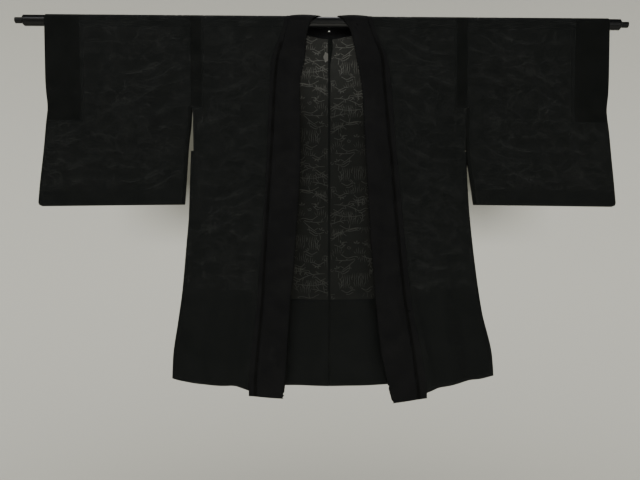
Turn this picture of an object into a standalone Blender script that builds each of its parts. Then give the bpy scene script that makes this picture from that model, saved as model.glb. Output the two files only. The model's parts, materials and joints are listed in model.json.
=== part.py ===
"""An unlined haori, the open-fronted jacket worn over a kimono, hanging flat on a level rod.

The rod runs through both sleeves along X and its axis passes through the origin. X runs to the
right as one faces the open front, -Y is the front and +Z is up; left and right are named as seen
from there. The cloth is made of the pieces that a maker cuts and sews:

- two body panels, each one strip from the back hem, up and over the rod, to the front hem;
- two sleeves, each one strip folded over the rod, sewn along its bottom and below the cuff;
- two gussets, the narrow wedges that join front to back below the sleeves;
- the collar, one long band sewn round the neck and down both fronts, folded outward.

Lengths in the tables are millimetres. A drop is a distance below the rod's axis, and widths are
measured outward from the centre line. Sheets are drawn as their outer face and thickened inward.
"""

import math
from collections import namedtuple

import bmesh
import bpy
import numpy as np
from mathutils import Vector

MM = 0.001

# The rod: a tube between two end plugs, a little off centre in the garment.
ROD_RADIUS = 12.7
ROD_SIDES = 32
TUBE_LEFT, TUBE_RIGHT = -708.5, 686.5
PLUG_CONE, PLUG_STUB = 4.5, 17.5
CONE_END_RADIUS = 9.3
STUB_RADIUS = 6.9
STUB_STEP = 0.5
CHAMFER = 1.0

# The cloth: single, doubled by the hem's turning, and the stiffer collar band.
CLOTH = 1.2
HEM_CLOTH = 2.0
BAND = 1.4
SEAM_GAP = 0.3
ROD_CLEARANCE = 0.7
DRAPE_RADIUS = ROD_RADIUS + ROD_CLEARANCE + CLOTH
TURNS = 8

# Drops along the cut: where the armhole seam ends and the gusset starts, the hem and its turning.
SLEEVE_SEWN = 200.0
GUSSET_TOP = 303.0
HEM = 848.0
HEM_TURNING = 200.0
COLLAR_PAST_HEM = 12.0

# The sleeve: its open cuff, its drop, its outer corner, the half thickness of its closed edges,
# the share of its width and the length over which it thins to them, and its sag at the cuff side.
CUFF_OPEN = 226.0
SLEEVE_DROP = 428.5
SLEEVE_CORNER = 11.0
SLEEVE_FOLD = 2.4
CLOSING_WIDTH = 0.25
CLOSING_LENGTH = 60.0
SLEEVE_SAG = 4.0

# The gusset: the flat lip beside each panel, and how much higher its fold hangs at the hem.
GUSSET_LIP = 1.0
GUSSET_LIFT = 7.0

# Shares of a panel's width: where it thins towards the side, and where the soft folds die away.
SIDE_TAPER = 0.45
FOLD_FADE = 0.2

# The collar's fold: its radius, how far the flap stands proud at its middle, and the share of the
# fold's dip that the free edge has.
FOLD_RADIUS = 0.7
FLAP_BULGE = 2.0
EDGE_DIP = 0.2

BACK, FRONT = 1, -1
Station = namedtuple("Station", "layer drop turn")


def table(columns, rows):
    """A table with named columns: each column is an array."""
    return dict(zip(columns, np.array(rows, dtype=float).T))


# How far each layer hangs from the mid plane, in the body's middle and along its side edges.
BODY_DEPTH = table(("drop", "middle", "side"), (
    (0, DRAPE_RADIUS, DRAPE_RADIUS),
    (200, 13.4, 9.2),
    (303, 13.2, 6.4),
    (500, 13.2, 7.6),
    (870, 14.4, 10.2),
))
SLEEVE_DEPTH = table(("drop", "depth"), (
    (0, DRAPE_RADIUS),
    (200, 9.2),
    (303, 6.4),
    (SLEEVE_DROP, SLEEVE_FOLD),
))

# The neck's half width: on the rod, by the turn in degrees from the back over the top, and then
# down the back neckline by drop, to the centre.
SHOULDER_NECK = table(("turn", "half_width"), ((0, 86), (67.5, 94), (90, 97)))
NECKLINE = table(("drop", "half_width"), (
    (0, 86), (6, 82), (14, 73), (21, 59), (27, 41), (31.5, 21), (33.3, SEAM_GAP / 2),
))

# The collar behind the neck: where its fold and its free edge lie at each point of the neckline,
# the radius of its fold there and how far the flap stands proud.
NECK_COLUMNS = ("turn", "drop", "fold_x", "fold_y", "fold_z", "edge_x", "edge_y", "edge_z", "roll", "proud")
NECK = table(NECK_COLUMNS, (
    (67.5, 0, 19.5, 6.0, 15.2, 92.0, 6.6, 15.4, 1.2, 3.5),
    (45.0, 0, 17.5, 11.0, 16.2, 93.5, 12.2, 12.0, 1.8, 5.0),
    (22.5, 0, 15.5, 16.0, 16.6, 95.0, 16.4, 6.4, 2.4, 6.5),
    (0.0, 0, 13.5, 20.0, 16.6, 95.5, 18.0, -0.5, 2.8, 7.5),
    (0.0, 6, 11.5, 23.5, 16.2, 91.5, 18.4, -7.0, 3.0, 7.5),
    (0.0, 14, 9.0, 26.5, 15.8, 82.0, 18.6, -14.5, 3.0, 7.0),
    (0.0, 21, 6.5, 29.0, 15.4, 67.0, 18.8, -21.0, 3.0, 6.5),
    (0.0, 27, 4.2, 30.7, 14.9, 47.0, 19.0, -26.5, 3.0, 6.0),
    (0.0, 31.5, 2.0, 31.7, 14.4, 24.0, 19.2, -30.5, 3.0, 5.5),
    (0.0, 33.3, 0.0, 32.0, 14.0, 0.0, 19.3, -32.0, 3.0, 5.5),
))

# Each front, hanging: the collar's seam, fold and free edge, and how much lower the fold hangs.
COLLAR_COLUMNS = ("drop", "seam", "fold", "edge", "dip")
# On the rod the collar's fold and free edge run from the first width, in front, to the second, on
# top (neck_fold and neck_edge).
# Each side edge: the panels' edge, the outermost line of gusset and panel, and the sleeve's edges.
SIDE_COLUMNS = ("drop", "panel", "outline")
SLEEVE_COLUMNS = ("drop", "inner", "outer")
# Each hem, across from the collar seam or centre (0) to the side (1).
HEM_COLUMNS = ("across", "front", "back")
# Each large soft fold: where it lies across the panel, its half width, the drop where it starts
# and its depth at the hem, towards the wearer when positive.
FOLD_COLUMNS = ("across", "half_width", "start", "depth")

LEFT = {
    "name": "left",
    "sign": -1,
    "collar": table(COLLAR_COLUMNS, (
        (0, 103, 41, 96, 0),
        (30, 112, 51, 104, 0),
        (90, 134, 57, 119, 0),
        (150, 139, 68, 125, 0),
        (300, 145, 66, 133, 0),
        (460, 153, 74, 143, 0),
        (645, 168, 90, 154, 2),
        (848, 187, 106, 170, 6),
        (870, 187, 109, 170, 7),
    )),
    "neck_fold": (41, 22.4),
    "neck_edge": (96, 91),
    "side": table(SIDE_COLUMNS, (
        (0, 322, 322), (200, 322, 322), (215, 318.5, 318.5), (303, 317.5, 324.5), (461, 316, 330),
        (522, 317.5, 335), (640, 322, 345), (712, 328, 354.5), (800, 336, 366.5), (870, 337, 369),
    )),
    "sleeve": table(SLEEVE_COLUMNS, (
        (0, 322.3, 658.5), (134, 322.3, 657.5), (200, 322.3, 654.5), (237, 324, 658),
        (294, 330, 663), (381, 335, 672.5), (428.5, 338, 676.5),
    )),
    "hem": table(HEM_COLUMNS, (
        (0, 861, 858), (0.12, 855, 857), (0.3, 849, 855), (0.7, 847, 850), (1, 840, 842),
    )),
    "front_folds": table(FOLD_COLUMNS, (
        (0.2, 0.1, 120, 5.0), (0.42, 0.14, 240, -4.5), (0.72, 0.12, 330, 4.0),
    )),
    "back_folds": table(FOLD_COLUMNS, (
        (0.2, 0.1, 200, -3.5), (0.45, 0.12, 300, 4.5), (0.74, 0.12, 260, -4.0),
    )),
}
RIGHT = {
    "name": "right",
    "sign": 1,
    "collar": table(COLLAR_COLUMNS, (
        (0, 98, 33, 90, 0),
        (30, 109, 48.5, 101, 0),
        (92, 134, 62, 121, 0),
        (150, 142, 73, 125, 0),
        (300, 154, 82, 140, 0),
        (452, 169, 91, 153, 0),
        (645, 190, 106, 174, 2),
        (747, 211, 118.5, 192, 5),
        (848, 226, 143, 205, 10),
        (870, 226, 150.5, 208, 12),
    )),
    "neck_fold": (33, 18),
    "neck_edge": (90, 88),
    "side": table(SIDE_COLUMNS, (
        (0, 322, 322), (200, 322, 322), (250, 321.5, 321.5), (303, 318.5, 324.8), (341, 316, 325),
        (416, 316, 328.5), (492, 319, 335), (575, 325.5, 344), (692, 337, 360.5), (802, 356, 385),
        (870, 359, 389.5),
    )),
    "sleeve": table(SLEEVE_COLUMNS, (
        (0, 322.3, 658.5), (134, 322.3, 658), (200, 322.3, 656), (256, 323.6, 662),
        (329, 326.8, 669), (353, 330, 671.5), (428.5, 339.5, 678.5),
    )),
    "hem": table(HEM_COLUMNS, (
        (0, 868.5, 858), (0.12, 863, 857), (0.3, 855, 855), (0.6, 845, 852), (1, 834.5, 842),
    )),
    "front_folds": table(FOLD_COLUMNS, (
        (0.21, 0.11, 140, 5.5), (0.46, 0.15, 220, -4.5), (0.76, 0.12, 300, 4.0),
    )),
    "back_folds": table(FOLD_COLUMNS, (
        (0.24, 0.11, 240, 4.0), (0.5, 0.12, 280, -4.5), (0.78, 0.1, 320, 3.5),
    )),
}

# Rows of points down each piece, closer together where it bends or changes.
TURNING_ROWS = (HEM - HEM_TURNING - 4, HEM - HEM_TURNING + 4)
GUSSET_ROWS = (GUSSET_TOP, 370, 440, 510, 580, *TURNING_ROWS, 700, 747, 800, HEM)
SLIT_ROWS = (SLEEVE_SEWN, 215, 260)
BACK_ROWS = (45, 80, 130, *SLIT_ROWS, *GUSSET_ROWS)
FRONT_ROWS = (30, 60, 92, 150, *SLIT_ROWS, *GUSSET_ROWS)
SLEEVE_ROWS = (0, 40, 90, 134, 180, 200, CUFF_OPEN, 256, 303, 345, 381, 406, 417.5, 422.5, 426.5)
PANEL_STEPS = 11
SLEEVE_STEPS = 10
GUSSET_STEPS = 6
UNDER_STEPS, FLAP_STEPS = 3, 3
SHARP_ANGLE = math.radians(30)

CLOTH_BLACK = (0.012, 0.012, 0.013)
COLLAR_BLACK = (0.008, 0.008, 0.009)
ROD_BLACK = (0.01, 0.011, 0.011)


def ease(value):
    """Rise smoothly from 0 to 1 as the value does."""
    value = min(max(value, 0.0), 1.0)
    return value * value * (3 - 2 * value)


def slope_at(steps, row):
    """The slope that a smooth curve has at a row, without swinging past its neighbours."""
    before, after = steps[max(row - 1, 0)], steps[min(row, len(steps) - 1)]
    if before * after <= 0:
        return 0.0
    return 2 * before * after / (before + after)


def curve(rows, column, at, key="drop"):
    """A column's value on a smooth curve through the table's rows."""
    keys, values = rows[key], rows[column]
    at = min(max(at, keys[0]), keys[-1])
    steps = np.diff(values) / np.diff(keys)
    row = min(max(int(np.searchsorted(keys, at)) - 1, 0), len(keys) - 2)
    span = keys[row + 1] - keys[row]
    share = (at - keys[row]) / span
    rise = values[row + 1] - values[row]
    start, end = slope_at(steps, row) * span, slope_at(steps, row + 1) * span
    bend = start + end - 2 * rise
    return float(values[row] + share * (start + share * (3 * rise - 2 * start - end + share * bend)))


def line(rows, column, at, key="drop"):
    """A column's value on straight lines between the table's rows."""
    return float(np.interp(at, rows[key], rows[column]))


def clear_scene():
    for thing in list(bpy.data.objects):
        bpy.data.objects.remove(thing, do_unlink=True)


def material(name, colour, roughness):
    made = bpy.data.materials.new(name)
    made.use_nodes = True
    shader = made.node_tree.nodes["Principled BSDF"]
    shader.inputs["Base Color"].default_value = (*colour, 1.0)
    shader.inputs["Roughness"].default_value = roughness
    return made


def add_object(name, mesh_data, made_material):
    mesh = bpy.data.meshes.new(name)
    mesh_data.to_mesh(mesh)
    mesh_data.free()
    mesh.materials.append(made_material)
    mesh.shade_smooth()
    thing = bpy.data.objects.new(name, mesh)
    bpy.context.scene.collection.objects.link(thing)
    return thing


def grid_faces(mesh_data, grid, flip):
    """Join neighbouring points of a grid into four-sided faces."""
    for upper, lower in zip(grid, grid[1:]):
        for column in range(len(upper) - 1):
            corners = [upper[column], lower[column], lower[column + 1], upper[column + 1]]
            mesh_data.faces.new(corners if flip else corners[::-1])


def thicken(thing, thickness, thinnest=1.0, even=True):
    """Give a sheet its wall, inward from its outer face; 'doubled' points get the full wall."""
    wall = thing.modifiers.new("wall", "SOLIDIFY")
    wall.thickness = thickness * MM
    wall.offset = -1.0
    wall.use_even_offset = even
    if thinnest < 1.0:
        wall.vertex_group = "doubled"
        wall.thickness_vertex_group = thinnest


def mark_doubled(thing, points):
    group = thing.vertex_groups.new(name="doubled")
    group.add(points, 1.0, "REPLACE")


def add_sheet(name, rows, made_material, flip, doubled_rows=()):
    """One sheet of cloth from rows of points; the rows named as doubled have the hem's wall."""
    mesh_data = bmesh.new()
    grid = [[mesh_data.verts.new(point * MM) for point in row] for row in rows]
    grid_faces(mesh_data, grid, flip)
    width = len(rows[0])
    thing = add_object(name, mesh_data, made_material)
    if doubled_rows:
        mark_doubled(thing, [row * width + column for row in doubled_rows for column in range(width)])
        thicken(thing, HEM_CLOTH, CLOTH / HEM_CLOTH)
    else:
        thicken(thing, CLOTH)
    return thing


def over_rod(turn):
    """Depth and height of cloth on the rod, turned in degrees from the back, over the top."""
    angle = math.radians(turn)
    return DRAPE_RADIUS * math.cos(angle), DRAPE_RADIUS * math.sin(angle)


def fold_depth(folds, across, drop):
    """How far the soft folds move a panel's point towards the wearer."""
    depth = 0.0
    for place, half_width, start, deepest in zip(*(folds[column] for column in FOLD_COLUMNS)):
        shape = math.exp(-((across - place) / half_width) ** 2)
        depth += deepest * shape * ease((drop - start) / (HEM - start))
    return depth * ease(across / FOLD_FADE) * ease((1 - across) / FOLD_FADE)


def panel_inner(side, station):
    """Half width of a body panel's inner edge: collar seam, neckline or centre back seam."""
    if station.layer == FRONT and not station.turn:
        return curve(side["collar"], "seam", station.drop)
    if station.turn:
        turns = (*SHOULDER_NECK["turn"], 180)
        widths = (*SHOULDER_NECK["half_width"], side["collar"]["seam"][0])
        return float(np.interp(station.turn, turns, widths))
    return line(NECKLINE, "half_width", station.drop)


def panel_point(side, station, across):
    """A point of a body panel's outer face, from its inner edge (0) to its side edge (1)."""
    inner = panel_inner(side, station)
    outer = curve(side["side"], "panel", station.drop)
    width = inner + (outer - inner) * across
    if station.turn:
        depth, height = over_rod(station.turn)
        return Vector((side["sign"] * width, depth, height))
    drop = station.drop
    middle, edge = (line(BODY_DEPTH, column, drop) for column in ("middle", "side"))
    depth = middle + (edge - middle) * ease(1 - (1 - across) / SIDE_TAPER)
    folds = side["front_folds"] if station.layer == FRONT else side["back_folds"]
    depth -= fold_depth(folds, across, drop)
    hem = curve(side["hem"], "front" if station.layer == FRONT else "back", across, key="across")
    stretch = (hem - HEM) * ease((drop - GUSSET_TOP) / (HEM - GUSSET_TOP))
    return Vector((side["sign"] * width, station.layer * depth, -drop - stretch))


def strip_stations():
    """Stations from the back hem, up, over the rod and down to the front hem."""
    back = [Station(BACK, drop, 0) for drop in (*NECKLINE["drop"][1:], *BACK_ROWS)]
    over = [Station(FRONT, 0, step * 180 / TURNS) for step in range(1, TURNS)]
    front = [Station(FRONT, drop, 0) for drop in (0, *FRONT_ROWS)]
    return [*reversed(back), Station(BACK, 0, 0), *over, *front]


def add_body(side, made_material):
    stations = strip_stations()
    rows = [[panel_point(side, station, step / PANEL_STEPS) for step in range(PANEL_STEPS + 1)]
            for station in stations]
    doubled = [row for row, station in enumerate(stations) if station.drop > HEM - HEM_TURNING]
    return add_sheet(f"body_{side['name']}", rows, made_material, side["sign"] > 0, doubled)


def add_gusset(side, made_material):
    """The wedge below the sleeve, bulging outward between the panels' side edges."""
    rows = []
    for drop in GUSSET_ROWS:
        front, back = (panel_point(side, Station(layer, drop, 0), 1) for layer in (FRONT, BACK))
        reach = curve(side["side"], "outline", drop) - curve(side["side"], "panel", drop)
        lip = Vector((side["sign"] * SEAM_GAP, 0, 0))
        lift = GUSSET_LIFT * ease((drop - GUSSET_TOP) / (HEM - GUSSET_TOP))
        row = [front + lip]
        for step in range(GUSSET_STEPS + 1):
            share = step / GUSSET_STEPS
            swing = math.sin(math.pi * share)
            point = front.lerp(back, (1 - math.cos(math.pi * share)) / 2)
            out = SEAM_GAP + GUSSET_LIP + (reach - SEAM_GAP - GUSSET_LIP) * swing
            row.append(point + Vector((side["sign"] * out, 0, lift * swing)))
        row.append(back + lip)
        rows.append(row)
    doubled = [row for row, drop in enumerate(GUSSET_ROWS) if drop > HEM - HEM_TURNING]
    return add_sheet(f"gusset_{side['name']}", rows, made_material, side["sign"] > 0, doubled)


def sleeve_point(side, layer, drop, across):
    """A point of a hanging sleeve's outer face, from its inner edge (0) to its cuff edge (1)."""
    edges = side["sleeve"]
    inner, outer = curve(edges, "inner", drop), curve(edges, "outer", drop)
    past_corner = drop - (SLEEVE_DROP - SLEEVE_CORNER)
    if past_corner > 0:
        rounding = SLEEVE_CORNER - math.sqrt(max(SLEEVE_CORNER ** 2 - past_corner ** 2, 0))
        outer -= rounding
    depth = line(SLEEVE_DEPTH, "depth", drop)
    closing = ease(1 - (1 - across) / CLOSING_WIDTH) * ease(1 - (CUFF_OPEN - drop) / CLOSING_LENGTH)
    depth += (SLEEVE_FOLD - depth) * closing
    sag = SLEEVE_SAG * across * ease(drop / SLEEVE_DROP)
    width = inner + (outer - inner) * across
    return Vector((side["sign"] * width, layer * depth, -drop - sag))


def add_sleeve(side, made_material):
    """A flat tube: over the rod, down front and back, closed along the bottom and below the cuff."""
    columns = [step / SLEEVE_STEPS for step in range(SLEEVE_STEPS + 1)]
    mesh_data = bmesh.new()

    def hanging(layer):
        return [[mesh_data.verts.new(sleeve_point(side, layer, drop, across) * MM) for across in columns]
                for drop in SLEEVE_ROWS]

    back, front = hanging(BACK), hanging(FRONT)
    over = []
    for step in range(1, TURNS):
        depth, height = over_rod(step * 180 / TURNS)
        widths = [panel.co.x for panel in back[0]]
        over.append([mesh_data.verts.new((x, depth * MM, height * MM)) for x in widths])

    def seam_point(point):
        return mesh_data.verts.new(point * MM)

    bottom = []
    for across in columns:
        point = sleeve_point(side, BACK, SLEEVE_DROP, across)
        bottom.append(seam_point(Vector((point.x, 0, point.z))))
    strip = [bottom, *reversed(back), *over, *front, bottom]
    grid_faces(mesh_data, strip, side["sign"] > 0)

    outer = []
    for drop in SLEEVE_ROWS[SLEEVE_ROWS.index(CUFF_OPEN):]:
        point = sleeve_point(side, BACK, drop, 1)
        outer.append(seam_point(Vector((point.x + side["sign"] * SLEEVE_FOLD, 0, point.z))))
    outer.append(bottom[-1])
    first = SLEEVE_ROWS.index(CUFF_OPEN)
    back_edge = [row[-1] for row in back[first:]] + [bottom[-1]]
    front_edge = [row[-1] for row in front[first:]] + [bottom[-1]]
    for edge, flip in ((back_edge, side["sign"] > 0), (front_edge, side["sign"] < 0)):
        for row in range(len(outer) - 1):
            corners = [edge[row], edge[row + 1], outer[row + 1], outer[row]]
            corners = list(dict.fromkeys(corners))
            mesh_data.faces.new(corners[::-1] if flip else corners)
    thing = add_object(f"sleeve_{side['name']}", mesh_data, made_material)
    thicken(thing, CLOTH)
    return thing


def collar_section(seam, fold, edge, outward, roll=FOLD_RADIUS, proud=FLAP_BULGE):
    """Points across the band: seam, fold of radius roll, and back outside to the free edge."""
    reach = (fold - seam).normalized()
    outward = (outward - reach * outward.dot(reach)).normalized()
    start = seam + reach * SEAM_GAP
    section = [start.lerp(fold, step / UNDER_STEPS) for step in range(UNDER_STEPS + 1)]
    section.append(fold + (outward + reach) * roll)
    top = fold + outward * 2 * roll
    for step in range(FLAP_STEPS + 1):
        share = step / FLAP_STEPS
        section.append(top.lerp(edge, share) + outward * proud * 4 * share * (1 - share))
    return section


def collar_front(side, station):
    """The band's section where it hangs down a front, or lies on the rod's front half."""
    sign = side["sign"]
    outward = Vector((0, -1, 0))
    if station.turn:
        depth, height = over_rod(station.turn)
        seam = Vector((sign * panel_inner(side, station), depth, height))
        fold_x, edge_x = (
            np.interp(-station.turn, (-180, -90), side[key]) for key in ("neck_fold", "neck_edge")
        )
        outward = Vector((0, depth, height)).normalized()
        fold = Vector((sign * fold_x, depth, height))
        edge = Vector((sign * edge_x, depth, height)) + outward * 2 * FOLD_RADIUS
        return collar_section(seam, fold, edge, outward)
    seam = panel_point(side, station, 0)
    columns = ("fold", "edge", "dip")
    fold_x, edge_x, dip = (curve(side["collar"], column, station.drop) for column in columns)
    fold = Vector((sign * fold_x, seam.y, seam.z - dip))
    edge = Vector((sign * edge_x, seam.y - 2 * FOLD_RADIUS, seam.z - dip * EDGE_DIP))
    return collar_section(seam, fold, edge, outward)


def collar_neck(side, row):
    """The band's section behind the neck, at one row of the neck's table."""
    sign = side["sign"]
    turn, drop = NECK["turn"][row], NECK["drop"][row]
    depth, height = over_rod(turn)
    if drop:
        depth, height = line(BODY_DEPTH, "middle", drop), -drop
    seam = Vector((sign * panel_inner(side, Station(BACK, drop, turn)), depth, height))
    fold = Vector((sign * NECK["fold_x"][row], NECK["fold_y"][row], NECK["fold_z"][row]))
    edge = Vector((sign * NECK["edge_x"][row], NECK["edge_y"][row], NECK["edge_z"][row]))
    outward = Vector((0, depth, max(height, 0)))
    return collar_section(seam, fold, edge, outward, NECK["roll"][row], NECK["proud"][row])


def half_collar(side):
    """Sections from the lower end of one front up to the centre of the neck."""
    drops = (0, *FRONT_ROWS, HEM + COLLAR_PAST_HEM)
    stations = [Station(FRONT, drop, 0) for drop in reversed(drops)]
    stations += [Station(FRONT, 0, 180 - step * 180 / TURNS) for step in range(1, TURNS // 2 + 1)]
    sections = [collar_front(side, station) for station in stations]
    return sections + [collar_neck(side, row) for row in range(len(NECK["turn"]))]


def add_collar(made_material):
    left, right = half_collar(LEFT), half_collar(RIGHT)
    sections = left + right[-2::-1]
    mesh_data = bmesh.new()
    grid = [[mesh_data.verts.new(point * MM) for point in section] for section in sections]
    grid_faces(mesh_data, grid, False)
    thing = add_object("collar", mesh_data, made_material)
    thicken(thing, BAND, even=False)
    return thing


def add_turned(name, profile, made_material):
    """A round solid on the X axis, from (x, radius) pairs in order of x."""
    mesh_data = bmesh.new()
    rings = []
    for x, radius in profile:
        angles = [math.tau * side / ROD_SIDES for side in range(ROD_SIDES)]
        points = [Vector((x, radius * math.cos(angle), radius * math.sin(angle))) for angle in angles]
        rings.append([mesh_data.verts.new(point * MM) for point in points])
    for near, far in zip(rings, rings[1:]):
        for side in range(ROD_SIDES):
            after = (side + 1) % ROD_SIDES
            mesh_data.faces.new((near[side], far[side], far[after], near[after]))
    mesh_data.faces.new(rings[0])
    mesh_data.faces.new(rings[-1][::-1])
    bmesh.ops.recalc_face_normals(mesh_data, faces=mesh_data.faces)
    thing = add_object(name, mesh_data, made_material)
    thing.data.set_sharp_from_angle(angle=SHARP_ANGLE)
    return thing


def add_rod():
    black = material("rod_black", ROD_BLACK, roughness=0.25)
    plug = material("plug_black", ROD_BLACK, roughness=0.35)
    add_turned("rod_tube", ((TUBE_LEFT, ROD_RADIUS), (TUBE_RIGHT, ROD_RADIUS)), black)
    profile = ((SEAM_GAP, ROD_RADIUS), (SEAM_GAP + CHAMFER, ROD_RADIUS), (PLUG_CONE, CONE_END_RADIUS),
               (PLUG_CONE + STUB_STEP, STUB_RADIUS), (PLUG_CONE + PLUG_STUB, STUB_RADIUS))
    add_turned("rod_plug_right", [(TUBE_RIGHT + x, radius) for x, radius in profile], plug)
    add_turned("rod_plug_left", [(TUBE_LEFT - x, radius) for x, radius in reversed(profile)], plug)


def build():
    clear_scene()
    for side in (LEFT, RIGHT):
        add_body(side, material(f"body_cloth_{side['name']}", CLOTH_BLACK, roughness=0.8))
        add_sleeve(side, material(f"sleeve_cloth_{side['name']}", CLOTH_BLACK, roughness=0.8))
        add_gusset(side, material(f"gusset_cloth_{side['name']}", CLOTH_BLACK, roughness=0.8))
    add_collar(material("collar_cloth", COLLAR_BLACK, roughness=0.85))
    add_rod()


build()
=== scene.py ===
"""Dresses the haori that hangs on its rod: sheer gauze, seams, woven figure, rod and studio.

Lengths in the tables are millimetres, and MM turns them into metres. X runs along the rod, -Y is the
open front and +Z is up; left and right are as seen from the front. A drop is a distance below the
rod's axis. Each piece of gauze is worked out flat, as a strip of cloth with its woven figure cut
into its faces, and each flat spot is then placed on the hanging form.
"""

import json
import math
import random
from collections import namedtuple

import bmesh
import bpy
import numpy as np
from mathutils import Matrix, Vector, noise
from mathutils.geometry import delaunay_2d_cdt

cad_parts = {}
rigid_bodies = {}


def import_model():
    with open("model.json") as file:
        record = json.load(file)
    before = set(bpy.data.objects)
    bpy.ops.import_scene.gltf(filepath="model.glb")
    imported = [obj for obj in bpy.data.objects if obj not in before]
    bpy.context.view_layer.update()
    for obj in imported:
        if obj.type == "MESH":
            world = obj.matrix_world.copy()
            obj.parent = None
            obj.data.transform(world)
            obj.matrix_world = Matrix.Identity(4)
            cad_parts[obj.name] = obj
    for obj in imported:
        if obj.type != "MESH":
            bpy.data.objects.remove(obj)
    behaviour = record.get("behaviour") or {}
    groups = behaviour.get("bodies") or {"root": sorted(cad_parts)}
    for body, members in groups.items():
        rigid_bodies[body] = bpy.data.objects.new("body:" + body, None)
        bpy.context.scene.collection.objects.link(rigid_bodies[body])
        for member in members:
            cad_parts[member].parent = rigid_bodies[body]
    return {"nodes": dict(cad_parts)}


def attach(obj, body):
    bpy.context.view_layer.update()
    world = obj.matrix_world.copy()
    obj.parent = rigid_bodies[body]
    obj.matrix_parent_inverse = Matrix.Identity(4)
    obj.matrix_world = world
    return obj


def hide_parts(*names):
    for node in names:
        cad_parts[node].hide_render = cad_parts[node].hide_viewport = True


MM = 0.001
BODY = "root"

# How far from the rod's axis the solids' outer face lies, and the gap between two at a seam.
DRAPE_RADIUS = 14.6
SEAM_GAP = 0.3
# The cloth lies INSET inside that face, each layer under it LAYER deeper, and the collar's turned-in
# edge BAND under its flap. At a seam one piece laps SEAM_LAP past the other.
INSET, LAYER, BAND = 0.4, 0.7, 1.0
SEAM_LAP = 1.0

# Drops along the cut.
SLEEVE_SEWN = 200.0
GUSSET_TOP = 303.0
HEM = 848.0
COLLAR_PAST_HEM = 12.0
CUFF_OPEN = 226.0
SLEEVE_DROP = 428.5

# The sleeve: its round corner, how much lower its cuff side sags, and how its front and back close up
# below the cuff, to a fold and at last to a seam. The widths are shares of the sleeve's own. Its creases
# are shallower where it is thinner than CREASED_DEPTH.
SLEEVE_CORNER, SLEEVE_SAG, SLEEVE_FOLD = 11.0, 4.0, 2.4
CLOSING_WIDTH, CLOSING_LENGTH = 0.25, 60.0
SEAM_WIDTH, SEAM_LENGTH, SEAM_DEPTH = 0.012, 5.0, 0.15
CREASED_DEPTH = 6.0

# The gusset: the lip at its seams, how much its hem rises at the middle, and how soon its tuck ends.
GUSSET_LIP, GUSSET_LIFT, GUSSET_TUCK = 1.0, 7.0, 8.0

# A panel thins towards its side over one share of its width, and its large folds fade over another.
SIDE_TAPER, FOLD_FADE = 0.45, 0.2

# A crease's ends fade, from this share of its length inside them to as much past them. Between the
# creases the cloth is uneven: by how much, how large the patches are, and the drop where that is in
# full. Both are calm near the cloth's edges, over a share of its width, and near the rod.
CREASE_FADE = 0.15
UNEVEN_DEPTH, UNEVEN_ACROSS, UNEVEN_DOWN, UNEVEN_FROM = 0.9, 55.0, 130.0, 120.0
CALM_EDGE, CALM_TOP = 0.06, 60.0

# The collar's fold, the bulge of its flap, and how much of the fold's dip the flap's free edge has. That
# edge rounds over by EDGE_ROUND. What is turned in has points EDGE_TURNED back from it, and follows the
# bulge by a share that would be all of it at TURNED_LENGTH.
FOLD_RADIUS, FLAP_BULGE, EDGE_DIP = 0.7, 2.0, 0.2
EDGE_ROUND, EDGE_TURNED, TURNED_LENGTH = 0.3, (1.5, 12.0), 60.0

# What is turned in and shows through the gauze: the drops where the hems' turnings end, then widths.
# The cuff's facing goes on FACING_PAST_CUFF below the opening.
TURNING_TOP_FRONT, TURNING_TOP_BACK = 628.0, 646.0
ARMHOLE_ALLOWANCE, CENTRE_ALLOWANCE = 24.0, 3.0
CUFF_FACING, FACING_PAST_CUFF = 80.0, 4.0
SLEEVE_BOTTOM_TURNING, SLEEVE_EDGE_TURNING = 35.0, 7.0
# The sleeve's bottom allowance ends short of the cuff side and of the bottom seam.
ALLOWANCE_SHORT = (10.0, 6.0)
# A doubled band's outline runs PAST the cloth's edges, or ends SHORT of them.
PAST, SHORT = 5.0, 2.0

# Spacing of the meshes, in millimetres and in steps, how near two points are taken as one, and what
# keeps a division from being by zero.
STEP_DOWN, STEP_ACROSS = 8.0, 8.0
TURNS, NECK_STEPS = 24, 3
PANEL_STEPS, SLEEVE_STEPS, GUSSET_STEPS = 40, 42, 12
TOUCHING = 1e-4
TINY = 1e-9
# The sleeve's finer rows by its bottom corner, and its columns: even, and finer by its seam.
CORNER_DROPS = (420.0, 422.0, 424.0, 425.5)
EVEN_WIDTH, SEAM_SHARES = 0.97, (0.98, 0.988, 0.994, 0.998, 1)
# The collar's columns at its fold, at the start of its flap and at the flap's free edge.
UNDER_STEPS, ROUND_STEPS, FLAP_STEPS = 8, 8, 12
AT_FOLD, AT_FLAP, AT_EDGE = UNDER_STEPS, UNDER_STEPS + ROUND_STEPS, UNDER_STEPS + ROUND_STEPS + FLAP_STEPS

# A station is a row of a strip. Its layer is BACK or FRONT, twice that in a turned-up hem, and 0 where
# no drop is looked up. A cloth's points and normals are rows of stations by columns across.
BACK, FRONT = 1, -1
Station = namedtuple("Station", "layer drop turn")
Stroke = namedtuple("Stroke", "points width ends")
Cloth = namedtuple("Cloth", "stations points normals along start end columns inward")


def table(columns, rows):
    """A table with named columns: each column is an array."""
    return dict(zip(columns, np.array(rows, dtype=float).T))


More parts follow.
